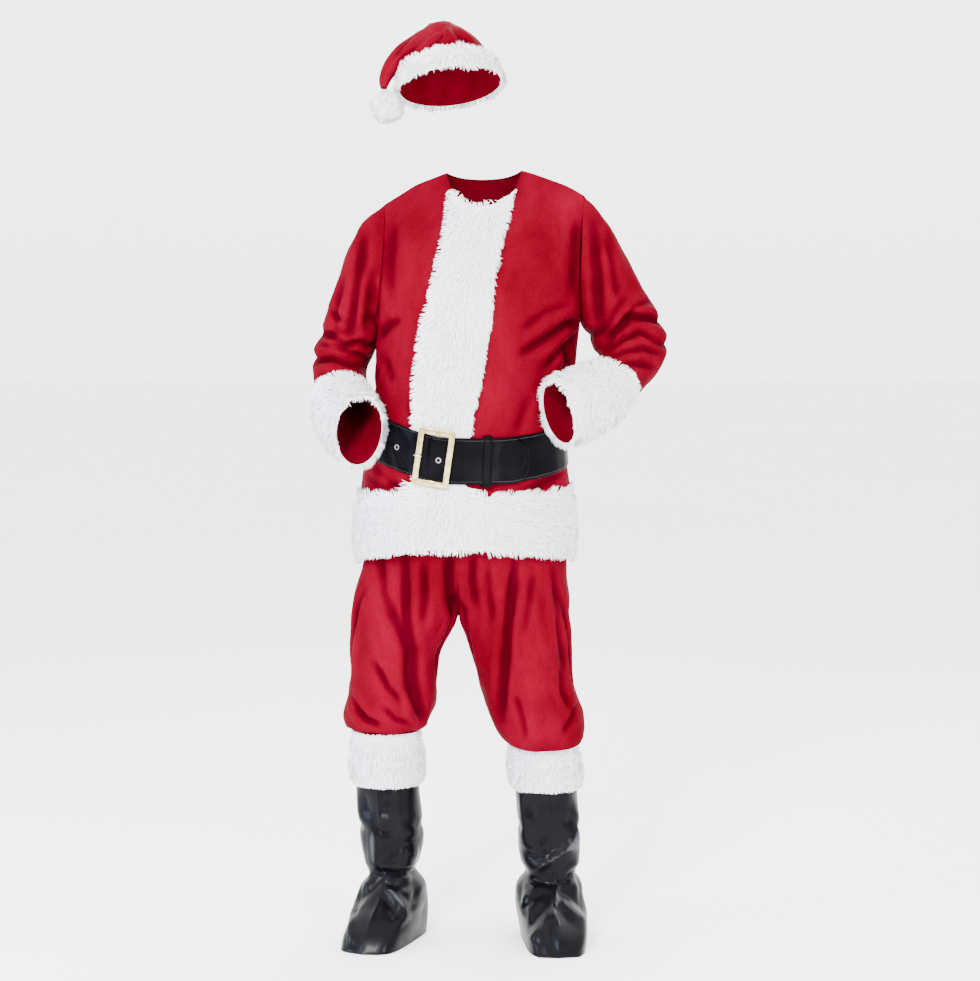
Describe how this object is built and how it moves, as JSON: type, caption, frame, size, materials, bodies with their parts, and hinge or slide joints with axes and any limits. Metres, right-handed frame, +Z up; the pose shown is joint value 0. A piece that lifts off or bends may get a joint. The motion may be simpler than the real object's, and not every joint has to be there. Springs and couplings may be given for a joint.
{
  "type": "santa suit costume set",
  "caption": "Red velour santa suit in its worn pose: fur-trimmed jacket, wide black belt, trousers, black boot covers and a hat with a pompom.",
  "frame": {"origin": "between the shoulders, where they carry the jacket, 1.43 m above the floor", "axes": "+Z up, the front of the suit faces -Y, the wearer's right side is at -X"},
  "size_m": [0.7055, 0.3739, 1.8228],
  "materials": {
    "red_velour": "short-pile crimson velour",
    "white_fur": "long-pile white fake fur",
    "black_vinyl": "glossy black vinyl leathercloth",
    "pale_gold": "pale gold plated metal",
    "silver": "bright plated metal"
  },
  "bodies": {
    "root": {"belt_keeper": "black_vinyl", "belt_strap": "black_vinyl", "boot_cover_left_inner": "black_vinyl", "boot_cover_left_outer": "black_vinyl", "boot_cover_right_inner": "black_vinyl", "boot_cover_right_outer": "black_vinyl", "boot_fur_left": "white_fur", "boot_fur_right": "white_fur", "buckle_frame": "pale_gold", "buckle_prong": "pale_gold", "cuff_fur_left": "white_fur", "cuff_fur_right": "white_fur", "eyelet_1": "silver", "eyelet_2": "silver", "hat_crown": "red_velour", "hat_fur_band": "white_fur", "hat_pompom": "white_fur", "hem_fur": "white_fur", "jacket_back": "red_velour", "jacket_front_left": "red_velour", "jacket_front_right": "red_velour", "placket_fur": "white_fur", "sleeve_left": "red_velour", "sleeve_right": "red_velour", "trouser_back_left": "red_velour", "trouser_back_right": "red_velour", "trouser_front_left": "red_velour", "trouser_front_right": "red_velour", "trouser_waistband": "red_velour"}
  },
  "joints": []
}
